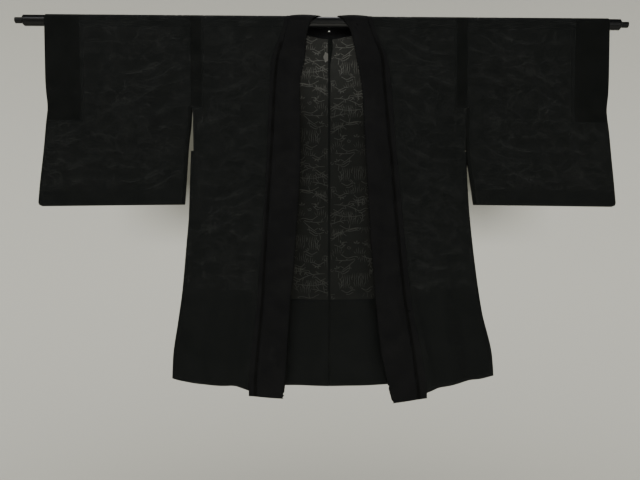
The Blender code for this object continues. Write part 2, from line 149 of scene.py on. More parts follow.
BODY_DEPTH = table(("drop", "middle", "side"), (
    (0, DRAPE_RADIUS, DRAPE_RADIUS),
    (200, 13.4, 9.2),
    (303, 13.2, 6.4),
    (500, 13.2, 7.6),
    (870, 14.4, 10.2),
))
SLEEVE_DEPTH = table(("drop", "depth"), (
    (0, DRAPE_RADIUS),
    (200, 9.2),
    (303, 6.4),
    (SLEEVE_DROP, SLEEVE_FOLD),
))
SHOULDER_NECK = table(("turn", "half_width"), ((0, 86), (67.5, 94), (90, 97)))
NECKLINE = table(("drop", "half_width"), (
    (0, 86), (6, 82), (14, 73), (21, 59), (27, 41), (31.5, 21), (33.3, SEAM_GAP / 2),
))
# How far the centre back allowance laps over the right panel: more near the neck.
CENTRE_LAP = table(("drop", "lap"), ((34, 8.0), (58, 8.0), (81, 4.5), (98, 2.2), (HEM - 2, 2.0)))
# The band's sections behind the neck: its fold, its free edge, and the roll and bulge of the flap.
NECK = table(("turn", "drop", "fold_x", "fold_y", "fold_z", "edge_x", "edge_y", "edge_z", "roll", "proud"), (
    (67.5, 0, 19.5, 6.0, 15.2, 92.0, 6.6, 15.4, 1.2, 3.5),
    (45.0, 0, 17.5, 11.0, 16.2, 93.5, 12.2, 12.0, 1.8, 5.0),
    (22.5, 0, 15.5, 16.0, 16.6, 95.0, 16.4, 6.4, 2.4, 6.5),
    (0.0, 0, 13.5, 20.0, 16.6, 95.5, 18.0, -0.5, 2.8, 7.5),
    (0.0, 6, 11.5, 23.5, 16.2, 91.5, 18.4, -7.0, 3.0, 7.5),
    (0.0, 14, 9.0, 26.5, 15.8, 82.0, 18.6, -14.5, 3.0, 7.0),
    (0.0, 21, 6.5, 29.0, 15.4, 67.0, 18.8, -21.0, 3.0, 6.5),
    (0.0, 27, 4.2, 30.7, 14.9, 47.0, 19.0, -26.5, 3.0, 6.0),
    (0.0, 31.5, 2.0, 31.7, 14.4, 24.0, 19.2, -30.5, 3.0, 5.5),
    (0.0, 33.3, 0.0, 32.0, 14.0, 0.0, 19.3, -32.0, 3.0, 5.5),
))

# The columns of a side's tables, by the last word of a table's name. A fold is large and soft: where it
# lies across the panel, its half width, where it starts and its depth. A crease runs from one spot to
# another, as shares across and drops, then its half width and its depth. Depths are in millimetres,
# towards the wearer when positive.
COLUMNS = {
    "collar": ("drop", "seam", "fold", "edge", "dip"),
    "side": ("drop", "panel", "outline"),
    "sleeve": ("drop", "inner", "outer"),
    "hem": ("across", "front", "back"),
    "folds": ("across", "half_width", "start", "depth"),
    "creases": ("across", "drop", "to_across", "to_drop", "half_width", "depth"),
}


def side_tables(name, sign, neck_fold, neck_edge, **tables):
    """One side's tables, and where its collar's fold and edge lie in front of the rod and on top of it."""
    made = {key: table(COLUMNS[key.split("_")[-1]], rows) for key, rows in tables.items()}
    return dict(made, name=name, sign=sign, neck_fold=neck_fold, neck_edge=neck_edge)


LEFT = side_tables(
    name="left",
    sign=-1,
    collar=(
        (0, 103, 41, 96, 0), (30, 112, 51, 104, 0), (90, 134, 57, 119, 0), (150, 139, 68, 125, 0),
        (300, 145, 66, 133, 0), (460, 153, 74, 143, 0), (645, 168, 90, 154, 2),
        (848, 187, 106, 170, 6), (870, 187, 109, 170, 7),
    ),
    neck_fold=(41, 22.4),
    neck_edge=(96, 91),
    side=(
        (0, 322, 322), (200, 322, 322), (215, 318.5, 318.5), (303, 317.5, 324.5), (461, 316, 330),
        (522, 317.5, 335), (640, 322, 345), (712, 328, 354.5), (800, 336, 366.5), (870, 337, 369),
    ),
    sleeve=(
        (0, 322.3, 658.5), (134, 322.3, 657.5), (200, 322.3, 654.5), (237, 324, 658),
        (294, 330, 663), (381, 335, 672.5), (428.5, 338, 676.5),
    ),
    hem=(
        (0, 861, 858), (0.12, 855, 857), (0.3, 849, 855), (0.7, 847, 850), (1, 840, 842),
    ),
    front_folds=(
        (0.2, 0.1, 120, 5.0), (0.42, 0.14, 240, -4.5), (0.72, 0.12, 330, 4.0),
    ),
    back_folds=(
        (0.2, 0.1, 200, -3.5), (0.45, 0.12, 300, 4.5), (0.74, 0.12, 260, -4.0),
    ),
    front_creases=(
        (0.9, 60, 0.55, 190, 9, 1.2), (0.1, 60, 0.3, 330, 8, 1.0), (0.95, 300, 0.6, 420, 10, 1.4),
        (0.5, 350, 0.62, 600, 9, -1.2), (0.08, 420, 0.14, 780, 6, 1.3), (0.85, 520, 0.93, 820, 9, 1.2),
        (0.32, 560, 0.24, 840, 7, -1.0),
    ),
    back_creases=(
        (0.28, 70, 0.8, 150, 10, 1.0), (0.05, 120, 0.12, 420, 7, -1.0), (0.95, 310, 0.7, 460, 9, 1.3),
        (0.35, 330, 0.3, 640, 9, 1.2), (0.6, 500, 0.66, 830, 10, -1.4), (0.88, 560, 0.92, 820, 8, 1.0),
    ),
    sleeve_front_creases=(
        (0.12, 40, 0.3, 250, 9, 1.0), (0.5, 30, 0.56, 390, 12, -1.2), (0.72, 60, 0.8, 300, 10, 1.2),
        (0.2, 280, 0.4, 410, 9, 1.0), (0.97, 230, 0.7, 330, 9, 1.0),
    ),
    sleeve_back_creases=(
        (0.2, 40, 0.16, 380, 11, 1.2), (0.45, 120, 0.5, 400, 10, -1.1), (0.8, 40, 0.72, 330, 12, 1.2),
        (0.96, 240, 0.75, 360, 8, 0.9),
    ),
)
RIGHT = side_tables(
    name="right",
    sign=1,
    collar=(
        (0, 98, 33, 90, 0), (30, 109, 48.5, 101, 0), (92, 134, 62, 121, 0), (150, 142, 73, 125, 0),
        (300, 154, 82, 140, 0), (452, 169, 91, 153, 0), (645, 190, 106, 174, 2),
        (747, 211, 118.5, 192, 5), (848, 226, 143, 205, 10), (870, 226, 150.5, 208, 12),
    ),
    neck_fold=(33, 18),
    neck_edge=(90, 88),
    side=(
        (0, 322, 322), (200, 322, 322), (250, 321.5, 321.5), (295, 320.8, 320.8), (303, 318.5, 324.8),
        (341, 316, 325), (416, 316, 328.5), (492, 319, 335), (575, 325.5, 344), (692, 337, 360.5),
        (802, 356, 385), (870, 359, 389.5),
    ),
    sleeve=(
        (0, 322.3, 658.5), (134, 322.3, 658), (200, 322.3, 656), (256, 322.1, 662),
        (303, 323.2, 666.5), (329, 325.7, 669), (353, 329.4, 671.5), (428.5, 339.5, 678.5),
    ),
    hem=(
        (0, 868.5, 858), (0.12, 863, 857), (0.3, 855, 855), (0.6, 845, 852), (1, 834.5, 842),
    ),
    front_folds=(
        (0.21, 0.11, 140, 5.5), (0.46, 0.15, 220, -4.5), (0.76, 0.12, 300, 4.0),
    ),
    back_folds=(
        (0.24, 0.11, 240, 4.0), (0.5, 0.12, 280, -4.5), (0.78, 0.1, 320, 3.5),
    ),
    front_creases=(
        (0.88, 50, 0.6, 170, 10, 1.2), (0.12, 80, 0.28, 300, 8, -1.0), (0.95, 310, 0.68, 450, 9, 1.3),
        (0.55, 300, 0.5, 560, 10, 1.1), (0.1, 460, 0.16, 800, 7, 1.3), (0.8, 540, 0.9, 830, 9, -1.2),
        (0.36, 600, 0.28, 845, 7, 1.0),
    ),
    back_creases=(
        (0.3, 60, 0.75, 170, 9, 1.0), (0.08, 160, 0.1, 480, 8, 1.0), (0.96, 310, 0.66, 430, 9, 1.2),
        (0.42, 360, 0.38, 620, 9, -1.2), (0.62, 480, 0.7, 820, 10, 1.3), (0.9, 600, 0.86, 830, 8, -1.0),
    ),
    sleeve_front_creases=(
        (0.15, 50, 0.22, 270, 10, -1.0), (0.42, 40, 0.5, 380, 12, 1.2), (0.78, 40, 0.7, 320, 10, 1.2),
        (0.3, 300, 0.5, 415, 9, -1.0), (0.97, 235, 0.74, 350, 9, 1.1),
    ),
    sleeve_back_creases=(
        (0.25, 40, 0.2, 390, 11, -1.2), (0.55, 90, 0.48, 400, 10, 1.2), (0.84, 50, 0.8, 310, 11, 1.1),
        (0.95, 250, 0.7, 370, 8, 1.0),
    ),
)

# The woven figure's repeat, across and along the cloth. Every second repeat across is dropped by half.
REPEAT_ACROSS, REPEAT_ALONG = 198.0, 252.0
FIGURE_SEED = 7
# The shores: where each lies along the repeat, and its slope in degrees. The water lines on them: where
# the first starts, their length and width, how far they stray and turn, and the way to the next as a
# share of their length. The drawings: where the first stands, the way to the next, and their lift.
SHORES = ((8, 4), (41, -7), (69, 3), (113, 9), (150, -4), (176, 6), (221, -8))
FIRST_WATER, WATER_LENGTH, WATER_WIDTH = (0, 30), (22, 52), 1.3
WATER_STRAY, WATER_TURN, WATER_EVERY = (-3, 3), (-6, 6), (1.2, 2.4)
FIRST_MOTIF, MOTIF_GAP, MOTIF_LIFT = (0, 10), (9, 24), (2, 8)

# The pale leaf dyed near the top of the centre back seam: its place, half sizes and lobed outline.
MARK_DROP, MARK_ACROSS = 77.0, 7.5
MARK_WIDTH, MARK_HEIGHT = 6.0, 11.5
MARK_POINTS, MARK_LOBES, LOBE_DEPTH = 24, 5, 0.14

# Each cloth's colour, the share of light that it stops, and the width of its thread.
Finish = namedtuple("Finish", "colour alpha thread", defaults=(1.0, 0.9))
FINISHES = {
    "gauze_ground": Finish((0.0041, 0.0047, 0.0046), 0.972),
    "gauze_figure": Finish((0.0110, 0.0120, 0.0117), 0.88),
    "gauze_doubled": Finish((0.0027, 0.0032, 0.0030), 0.984),
    "dyed_leaf": Finish((0.044, 0.043, 0.041), 0.91),
    "collar_ground": Finish((0.0034, 0.0035, 0.0038)),
    "collar_figure": Finish((0.0048, 0.0049, 0.0050)),
    # Painted shade, not a cloth: the shadow under the collar flap's free edge and along its fold.
    "collar_turning": Finish((0.0012, 0.0012, 0.0012)),
    "white_thread": Finish((0.78, 0.77, 0.73), thread=0.3),
}
CLOTH_ROUGHNESS = (0.7, 0.9)
# How many radians a wave texture turns in one unit at a scale of 1.
WAVE_RATE = 20

# The collar's bands of painted shade: the painted shadow under the flap's free edge, which reaches to
# both sides of that edge and shows below a drop of FLAP_CLEAR, and the painted shade along the fold,
# which reaches past its bend. The figure keeps a share of the band's width clear of the fold and the edges.
EDGE_SHADE_OUT, EDGE_SHADE_IN, FLAP_CLEAR, FOLD_SHADE_REACH = 6.5, 1.5, 40.0, 2.5
FLAT_MARGIN = 0.012

# The white stitches at the neck: their place across the band, radius, length and spacing, how far off
# the cloth's face their ends lie and their middle bows, and the steps of their mesh.
TACK_ACROSS, TACK_RADIUS, TACK_LENGTH, TACK_GAP = 28.0, 0.6, 0.9, 1.3
TACK_OFF, TACK_BOW = 0.25, 0.5
TACK_STEPS, TACK_SIDES = 6, 8

# The rod's black, and the least and greatest roughness of its enamel and of its plugs' plastic.
ROD_BLACK = (0.0045, 0.0048, 0.005)
ENAMEL_ROUGHNESS, PLASTIC_ROUGHNESS = (0.16, 0.3), (0.28, 0.42)

# The studio, in metres: a round floor that bends up into a wall.
STUDIO_PALE = (0.27, 0.266, 0.236)
FLOOR, WALL, BEND, WALL_TOP = -2.4, 4.2, 1.6, 3.0
BEND_STEPS, STUDIO_SIDES = 12, 96

# The lamps, in metres and watts. Each lights the garment or the studio, and not the other.
Lamp = namedtuple("Lamp", "name place target size power lit")
MIDDLE = (0, 0, -0.4)
LAMPS = (
    Lamp("key", (-1.2, -2.6, 1.6), MIDDLE, (1.6, 1.2), 66, "garment"),
    Lamp("fill", (1.0, -2.6, -0.45), MIDDLE, (1.8, 1.8), 20, "garment"),
    Lamp("top", (0, 0.8, 2.6), MIDDLE, (2.5, 2.5), 60, "garment"),
    Lamp("rear", (1.0, 2.6, 0.3), MIDDLE, (1.6, 1.2), 60, "garment"),
    Lamp("wash", (-0.12, -2.6, -0.54), (0, 4.2, -1.5), (0.4, 0.4), 900, "studio"),
    Lamp("glow", (0, -0.9, 0.6), (0, -4.2, -1.2), (1.5, 1.0), 330, "studio"),
)
SKY_COLOUR, SKY_STRENGTH = (0.95, 0.97, 1.0, 1), 0.05

# The camera, in metres: how far off the rod it stands, how wide the frame is there, the x and z that it
# faces, and its turn to the right in degrees.
CAMERA_DISTANCE, FRAME_WIDTH = 1.35, 1.504
CAMERA_AIM = (-0.0224, -0.511)
CAMERA_YAW = 1.15
SENSOR_WIDTH = 36


def steps_of(points):
    """The length of each step from a point to the next."""
    return [(after - before).length for before, after in zip(points, points[1:])]


def ease(value):
    """Rise smoothly from 0 to 1 as the value does."""
    value = min(max(value, 0.0), 1.0)
    return value * value * (3 - 2 * value)


def slope_at(steps, row):
    """The slope that a smooth curve has at a row, without swinging past its neighbours."""
    before, after = steps[max(row - 1, 0)], steps[min(row, len(steps) - 1)]
    if before * after <= 0:
        return 0.0
    return 2 * before * after / (before + after)


def curve(rows, column, at, key="drop"):
    """A column's value on a smooth curve through the table's rows."""
    keys, values = rows[key], rows[column]
    at = min(max(at, keys[0]), keys[-1])
    steps = np.diff(values) / np.diff(keys)
    row = min(max(int(np.searchsorted(keys, at)) - 1, 0), len(keys) - 2)
    span = keys[row + 1] - keys[row]
    share = (at - keys[row]) / span
    rise = values[row + 1] - values[row]
    start, end = slope_at(steps, row) * span, slope_at(steps, row + 1) * span
    bend = start + end - 2 * rise
    return float(values[row] + share * (start + share * (3 * rise - 2 * start - end + share * bend)))


def line(rows, column, at, key="drop"):
    """A column's value on straight lines between the table's rows."""
    return float(np.interp(at, rows[key], rows[column]))


def over_rod(turn, radius=DRAPE_RADIUS - INSET):
    """Depth and height of cloth on the rod, turned in degrees from the back, over the top."""
    angle = math.radians(turn)
    return radius * math.cos(angle), radius * math.sin(angle)


def fold_depth(folds, across, drop):
    """How far the large folds move a panel's point towards the wearer."""
    depth = 0.0
    for place, half_width, start, deepest in zip(*folds.values()):
        shape = math.exp(-((across - place) / half_width) ** 2)
        depth += deepest * shape * ease((drop - start) / (HEM - start))
    return depth * ease(across / FOLD_FADE) * ease((1 - across) / FOLD_FADE)


def crease_depth(creases, across, drop, width, seed):
    """How far the small creases and the cloth's own unevenness move a point towards the wearer."""
    depth = 0.0
    for x, z, to_x, to_z, half_width, deepest in zip(*creases.values()):
        run_x, run_z = (to_x - x) * width, to_z - z
        spot_x, spot_z = (across - x) * width, drop - z
        share = (spot_x * run_x + spot_z * run_z) / (run_x * run_x + run_z * run_z)
        away = math.hypot(spot_x - share * run_x, spot_z - share * run_z)
        fade = 2 * CREASE_FADE
        length = ease((share + CREASE_FADE) / fade) * ease((1 + CREASE_FADE - share) / fade)
        depth += deepest * length * math.exp(-(away / half_width) ** 2)
    uneven = noise.noise(Vector((across * width / UNEVEN_ACROSS, drop / UNEVEN_DOWN, seed)))
    depth += UNEVEN_DEPTH * uneven * ease(drop / UNEVEN_FROM)
    return depth * ease(across / CALM_EDGE) * ease((1 - across) / CALM_EDGE) * ease(drop / CALM_TOP)


# ---- the hanging forms

def panel_inner(side, station):
    """Half width of a body panel's inner edge: collar seam, neckline or centre back seam."""
    if station.layer == FRONT and not station.turn:
        return curve(side["collar"], "seam", station.drop)
    if station.turn:
        turns = (*SHOULDER_NECK["turn"], 180)
        widths = (*SHOULDER_NECK["half_width"], side["collar"]["seam"][0])
        return float(np.interp(station.turn, turns, widths))
    return line(NECKLINE, "half_width", station.drop)


def panel_point(side, station, across, deeper=0.0):
    """A point of a body panel, from its inner edge (0) to its side edge (1)."""
    inner = panel_inner(side, station)
    outer = curve(side["side"], "panel", station.drop)
    width = inner + (outer - inner) * across
    if station.turn:
        depth, height = over_rod(station.turn)
        return Vector((side["sign"] * width, depth, height))
    drop = station.drop
    layer = "front" if station.layer == FRONT else "back"
    middle, edge = (line(BODY_DEPTH, column, drop) for column in ("middle", "side"))
    depth = middle + (edge - middle) * ease(1 - (1 - across) / SIDE_TAPER)
    depth -= INSET + deeper + fold_depth(side[layer + "_folds"], across, drop)
    seed = side["sign"] * 2 + station.layer
    depth -= crease_depth(side[layer + "_creases"], across, drop, outer - inner, seed)
    hem = curve(side["hem"], layer, across, key="across")
    stretch = (hem - HEM) * ease((drop - GUSSET_TOP) / (HEM - GUSSET_TOP))
    return Vector((side["sign"] * width, station.layer * depth, -drop - stretch))


def sleeve_point(side, layer, drop, across):
    """A point of a hanging sleeve, from its inner edge (0) to its cuff edge (1)."""
    edges = side["sleeve"]
    inner, outer = curve(edges, "inner", drop), curve(edges, "outer", drop)
    closed = ease(1 - (CUFF_OPEN - drop) / CLOSING_LENGTH)
    outer += SLEEVE_FOLD * closed
    past_corner = drop - (SLEEVE_DROP - SLEEVE_CORNER)
    if past_corner > 0:
        outer -= SLEEVE_CORNER - math.sqrt(max(SLEEVE_CORNER ** 2 - past_corner ** 2, 0))
    depth = line(SLEEVE_DEPTH, "depth", drop)
    depth += (SLEEVE_FOLD - depth) * ease(1 - (1 - across) / CLOSING_WIDTH) * closed
    creases = side["sleeve_front_creases" if layer == FRONT else "sleeve_back_creases"]
    depth -= INSET
    creased = crease_depth(creases, across, drop, outer - inner, side["sign"] * 3 + layer)
    depth -= creased * min(1, depth / CREASED_DEPTH)
    # The front and back meet in a seam below the cuff and along the bottom.
    to_seam = min(1.0, (1 - across) / SEAM_WIDTH + (1 - closed)) * ease((SLEEVE_DROP - drop) / SEAM_LENGTH)
    depth = SEAM_DEPTH + (depth - SEAM_DEPTH) * to_seam
    sag = SLEEVE_SAG * across * ease(drop / SLEEVE_DROP)
    width = inner + (outer - inner) * across
    return Vector((side["sign"] * width, layer * depth, -drop - sag))


def fine_drops(start, end, *wanted):
    """Drops from start to end, about STEP_DOWN apart, that include the wanted ones."""
    marks = sorted({start, end, *(drop for drop in wanted if start < drop < end)})
    drops = []
    for upper, lower in zip(marks, marks[1:]):
        count = max(1, round((lower - upper) / STEP_DOWN))
        drops += [upper + (lower - upper) * step / count for step in range(count)]
    return [*drops, end]


def shares(count):
    """Even shares from 0 to 1."""
    return [step / count for step in range(count + 1)]


def hanging_strip(lowest, *wanted):
    """Stations up the back from the lowest drop, over the rod and down the front again."""
    drops = fine_drops(0, lowest, *wanted)
    back = [Station(BACK, drop, 0) for drop in reversed(drops)]
    over = [Station(FRONT, 0, step * 180 / TURNS) for step in range(1, TURNS)]
    return [*back, *over, *(Station(FRONT, drop, 0) for drop in drops)]


def make_cloth(stations, rows, edges, columns, inward):
    """A cloth from its rows of points and the across places of its two edges at each row. Inward, 1 or
    -1, turns its normals towards the wearer."""
    points = np.array([[tuple(point) for point in row] for row in rows])
    middle = points[:, points.shape[1] // 2]
    along = np.concatenate([[0], np.cumsum(np.linalg.norm(np.diff(middle, axis=0), axis=1))])
    normals = np.cross(np.gradient(points, axis=0), np.gradient(points, axis=1)) * inward
    normals /= np.maximum(np.linalg.norm(normals, axis=2, keepdims=True), TINY)
    starts, ends = np.array(edges, float).T
    return Cloth(stations, points, normals, along, starts, ends, np.array(columns, float), inward)


def along_at(cloth, layer, drop):
    """How far along the cloth a drop of one layer lies."""
    rows = sorted((station.drop, along) for station, along in zip(cloth.stations, cloth.along)
                  if station.layer == layer and not station.turn)
    return float(np.interp(drop, *zip(*rows)))


def place(cloth, spots, deeper=0.0):
    """Where flat spots (across, along) lie on the hanging cloth, moved inward by deeper. A spot a
    little past a side edge lies straight on from it."""
    spots = np.asarray(spots, float)
    row = np.clip(np.searchsorted(cloth.along, spots[:, 1], side="right") - 1, 0, len(cloth.along) - 2)
    down = (spots[:, 1] - cloth.along[row]) / (cloth.along[row + 1] - cloth.along[row])
    start = cloth.start[row] * (1 - down) + cloth.start[row + 1] * down
    end = cloth.end[row] * (1 - down) + cloth.end[row + 1] * down
    share = (spots[:, 0] - start) / (end - start)
    across = np.interp(share, cloth.columns, np.arange(len(cloth.columns)))
    across += (share - np.clip(share, 0, 1)) * (len(cloth.columns) - 1)
    column = np.clip(across.astype(int), 0, len(cloth.columns) - 2)
    right, down = (across - column)[:, None], down[:, None]

    def between(field):
        upper = field[row, column] * (1 - right) + field[row, column + 1] * right
        lower = field[row + 1, column] * (1 - right) + field[row + 1, column + 1] * right
        return upper * (1 - down) + lower * down

    return between(cloth.points) + deeper * between(cloth.normals)


def edges_of(cloth, alongs):
    """The cloth's start and end edges at places along it."""
    return [np.interp(alongs, cloth.along, edge) for edge in (cloth.start, cloth.end)]


def layer_on(cloth, edges_at, from_along, to_along, deeper):
    """A strip laid inside part of a cloth, between the edges that edges_at(start, end, along) gives."""
    count = max(2, round((to_along - from_along) / STEP_DOWN))
    alongs = np.linspace(from_along, to_along, count + 1)
    stations, rows, edges = [], [], []
    for along in alongs:
        low, high = edges_at(*edges_of(cloth, along), along)
        columns = shares(max(2, round(abs(high - low) / STEP_ACROSS)))
        if rows:
            columns = shares(len(rows[0]) - 1)
        rows.append(place(cloth, [(low + (high - low) * share, along) for share in columns], deeper))
        stations.append(Station(0, along, 0))
        edges.append((low, high))
    return make_cloth(stations, rows, edges, columns, cloth.inward)


def band_outline(cloth, edges_at, from_along, to_along):
    """The flat outline of a strip of a cloth, between the edges that edges_at(start, end, along) gives."""
    alongs = np.linspace(from_along, to_along, max(2, round((to_along - from_along) / STEP_DOWN)))
    low, high = edges_at(*edges_of(cloth, alongs), alongs)
    crossed = []
    for left, right, along in ((low[0], high[0], alongs[0]), (low[-1], high[-1], alongs[-1])):
        steps = np.linspace(left, right, max(2, round((right - left) / STEP_ACROSS)))[1:-1]
        crossed.append(np.stack([steps, np.full(len(steps), along)], axis=1))
    sides = [np.stack([side, alongs], axis=1) for side in (high, low)]
    return np.concatenate([crossed[0], sides[0], crossed[1][::-1], sides[1][::-1]])


def inside(cloth, spots, margin):
    """Whether each flat spot lies on the cloth, at least margin from its edges."""
    spots = np.asarray(spots, float)
    start, end = edges_of(cloth, spots[:, 1])
    return ((spots[:, 0] > start + margin) & (spots[:, 0] < end - margin)
            & (spots[:, 1] > margin) & (spots[:, 1] < cloth.along[-1] - margin))


# ---- the pieces' forms

def body_cloth(side):
    """A body panel's strip, with the turnings folded up inside both hems."""
    stations = hanging_strip(HEM, *NECKLINE["drop"], SLEEVE_SEWN, GUSSET_TOP)
    deeper = [0.0] * len(stations)
    for layer, top in ((BACK, TURNING_TOP_BACK), (FRONT, TURNING_TOP_FRONT)):
        drops = fine_drops(top, HEM)
        turning = [Station(2 * layer, drop, 0) for drop in drops]
        if layer == BACK:
            stations, deeper = turning + stations, [LAYER] * len(turning) + deeper
        else:
            stations, deeper = stations + turning[::-1], deeper + [LAYER] * len(turning)
    columns = shares(PANEL_STEPS)
    rows, edges = [], []
    for station, depth in zip(stations, deeper):
        on_panel = Station(BACK if station.layer > 0 else FRONT, station.drop, station.turn)
        rows.append([panel_point(side, on_panel, across, depth) for across in columns])
        edges.append((panel_inner(side, on_panel), curve(side["side"], "panel", station.drop)))
    return make_cloth(stations, rows, edges, columns, -side["sign"])


def sleeve_cloth(side):
    """A sleeve's strip, from its bottom seam up the back, over the rod and down the front."""
    stations = hanging_strip(SLEEVE_DROP, SLEEVE_SEWN, CUFF_OPEN, SLEEVE_DROP - SLEEVE_CORNER, *CORNER_DROPS)
    columns = [*(EVEN_WIDTH * share for share in shares(SLEEVE_STEPS)), *SEAM_SHARES]
    edges, rows = [], []
    for station in stations:
        row = [sleeve_point(side, station.layer, station.drop, across) for across in columns]
        if station.turn:
            depth, height = over_rod(station.turn)
            row = [Vector((point.x, depth, height)) for point in row]
        rows.append(row)
        edges.append([curve(side["sleeve"], edge, station.drop) for edge in ("inner", "outer")])
    return make_cloth(stations, rows, edges, columns, -side["sign"])


def gusset_cloth(side):
    """The wedge between a front and a back below the sleeve, with its turned-up hem."""
    drops = fine_drops(GUSSET_TOP, HEM)
    turning = [drop for drop in drops if drop > TURNING_TOP_BACK]
    stations = [Station(BACK, drop, 0) for drop in drops]
    stations += [Station(2 * BACK, drop, 0) for drop in reversed(turning)]
    columns = shares(GUSSET_STEPS)
    rows, edges = [], []
    for station in stations:
        drop = station.drop
        front, back = (panel_point(side, Station(layer, drop, 0), 1) for layer in (FRONT, BACK))
        reach = curve(side["side"], "outline", drop) - curve(side["side"], "panel", drop)
        reach -= SEAM_GAP + GUSSET_LIP + INSET + LAYER * (station.layer - BACK)
        lift = GUSSET_LIFT * ease((drop - GUSSET_TOP) / (HEM - GUSSET_TOP))
        row = []
        for share in columns:
            swing = math.sin(math.pi * share)
            point = front.lerp(back, (1 - math.cos(math.pi * share)) / 2)
            tucked = max(0, 1 - GUSSET_TUCK * swing)
            out = SEAM_GAP + GUSSET_LIP + reach * swing - (GUSSET_LIP + SEAM_LAP) * tucked
            point.y -= math.copysign(LAYER * tucked, point.y)
            row.append(point + Vector((side["sign"] * out, 0, lift * swing)))
        rows.append(row)
        edges.append((0, sum(steps_of(row))))
    return make_cloth(stations, rows, edges, columns, -side["sign"])


def collar_section(seam, fold, edge, outward, roll=FOLD_RADIUS, proud=FLAP_BULGE):
    """Points across the band: from its seam to the fold, round it and back outside to its free edge,
    which is turned in."""
    reach = (fold - seam).normalized()
    outward = (outward - reach * outward.dot(reach)).normalized()
    start, inner = seam - reach * SEAM_LAP, roll - INSET
    section = [start.lerp(fold, share) + outward * INSET for share in shares(UNDER_STEPS)]
    centre = fold + outward * roll
    for step in range(1, ROUND_STEPS):
        angle = math.pi * step / ROUND_STEPS
        ahead = reach * (roll + inner) / 2 * math.sin(angle)
        section.append(centre + ahead - outward * inner * math.cos(angle))
    top = fold + outward * (2 * roll - INSET)
    edge = edge - outward * INSET
    for share in shares(FLAP_STEPS):
        section.append(top.lerp(edge, share) + outward * proud * 4 * share * (1 - share))
    back = (top - edge).normalized()
    section.append(edge - back * EDGE_ROUND - outward * BAND / 2)
    return section + [edge + back * turned_in - outward * (BAND - proud * turned_in / TURNED_LENGTH)
                      for turned_in in EDGE_TURNED]


def collar_front(side, station):
    """The band's section where it hangs down a front, or lies on the rod's front half."""
    sign = side["sign"]
    if station.turn:
        depth, height = over_rod(station.turn, DRAPE_RADIUS)
        outward = Vector((0, depth, height)).normalized()
        fold_x, edge_x = (np.interp(-station.turn, (-180, -90), side[key])
                          for key in ("neck_fold", "neck_edge"))
        seam = Vector((sign * panel_inner(side, station), depth, height))
        fold = Vector((sign * fold_x, depth, height))
        edge = Vector((sign * edge_x, depth, height)) + outward * 2 * FOLD_RADIUS
        return collar_section(seam, fold, edge, outward)
    seam = panel_point(side, station, 0, -INSET)
    fold_x, edge_x, dip = (curve(side["collar"], column, station.drop) for column in ("fold", "edge", "dip"))
    fold = Vector((sign * fold_x, seam.y, seam.z - dip))
    edge = Vector((sign * edge_x, seam.y - 2 * FOLD_RADIUS, seam.z - dip * EDGE_DIP))
    return collar_section(seam, fold, edge, Vector((0, -1, 0)))


def collar_neck(side, place_in_table):
    """The band's section behind the neck, at a place between the rows of the neck's table."""
    sign = side["sign"]
    row = dict(zip(NECK, (np.interp(place_in_table, range(len(NECK["turn"])), NECK[key]) for key in NECK)))
    depth, height = over_rod(row["turn"], DRAPE_RADIUS)
    if row["drop"]:
        depth, height = line(BODY_DEPTH, "middle", row["drop"]), -row["drop"]
    seam = Vector((sign * panel_inner(side, Station(BACK, row["drop"], row["turn"])), depth, height))
    fold = Vector((sign * row["fold_x"], row["fold_y"], row["fold_z"]))
    edge = Vector((sign * row["edge_x"], row["edge_y"], row["edge_z"]))
    return collar_section(seam, fold, edge, Vector((0, depth, max(height, 0))), row["roll"], row["proud"])


def half_collar(side):
    """Sections from the lower end of one front up to the centre of the neck."""
    drops = fine_drops(0, HEM + COLLAR_PAST_HEM)
    sections = [collar_front(side, Station(FRONT, drop, 0)) for drop in reversed(drops)]
    sections += [collar_front(side, Station(FRONT, 0, 180 - turn))
                 for turn in np.linspace(180 / TURNS, 90, TURNS // 2)]
    last = len(NECK["turn"]) - 1
    places = np.linspace(0, last, NECK_STEPS * last + 1)
    return sections + [collar_neck(side, place_in_table) for place_in_table in places]


def collar_cloth():
    """The whole band, from the lower end of the left front, round the neck and down the right one."""
    left, right = half_collar(LEFT), half_collar(RIGHT)
    sections = left + right[-2::-1]
    edges = [(0, sum(steps_of(section))) for section in sections]
    runs = np.cumsum([0, *steps_of(sections[0])])
    columns = runs / runs[-1]
    stations = [Station(0, row, 0) for row in range(len(sections))]
    return make_cloth(stations, sections, edges, columns, 1)


# ---- the woven figure

def turned(points, turn, x, y):
    """Points turned by so many degrees and moved to x, y."""
    cos, sin = math.cos(math.radians(turn)), math.sin(math.radians(turn))
    return np.array(points, float) @ np.array([[cos, sin], [-sin, cos]]) + (x, y)


def water(size):
    """Two long shallow waves, one below part of the other, in short lengths."""
    wave = [(size * share, 3.2 * math.sin(2.2 + 6.5 * share)) for share in shares(12)]
    below = [(x + 3, y - 4.6) for x, y in wave[3:10]]
    return [wave[start:start + 4] for start in range(0, 12, 3)] + [below[:4], below[3:]]


def reeds(size):
    """A stand of upright reeds, each leaning a little more than the last."""
    heights = (0.45, 0.8, 1, 0.6, 0.9, 0.5)
    return [[(foot, 0), (foot * 1.1, size * height * 0.5), (foot * 1.45, size * height)]
            for foot, height in zip(np.linspace(-10, 10, len(heights)), heights)]


def hills(size):
    """Three rounds, one beside another."""
    return [[(size * (middle + reach * math.cos(math.pi * share)), size * reach * math.sin(math.pi * share))
             for share in shares(7)] for middle, reach in ((0, 1), (1.3, 0.7), (-1.1, 0.5))]


def spray(size):
    """A rising stem that bends, with short shoots on both sides."""
    stem = [(size * 0.25 * math.sin(2.6 * share), size * share) for share in shares(5)]
    shoots = [[(x, y), (x + size * reach * 0.6, y + size * 0.1), (x + size * reach, y + size * 0.24)]
              for (x, y), reach in zip(stem[1:], (0.26, -0.24, 0.2, -0.16))]
    return [stem, *shoots]


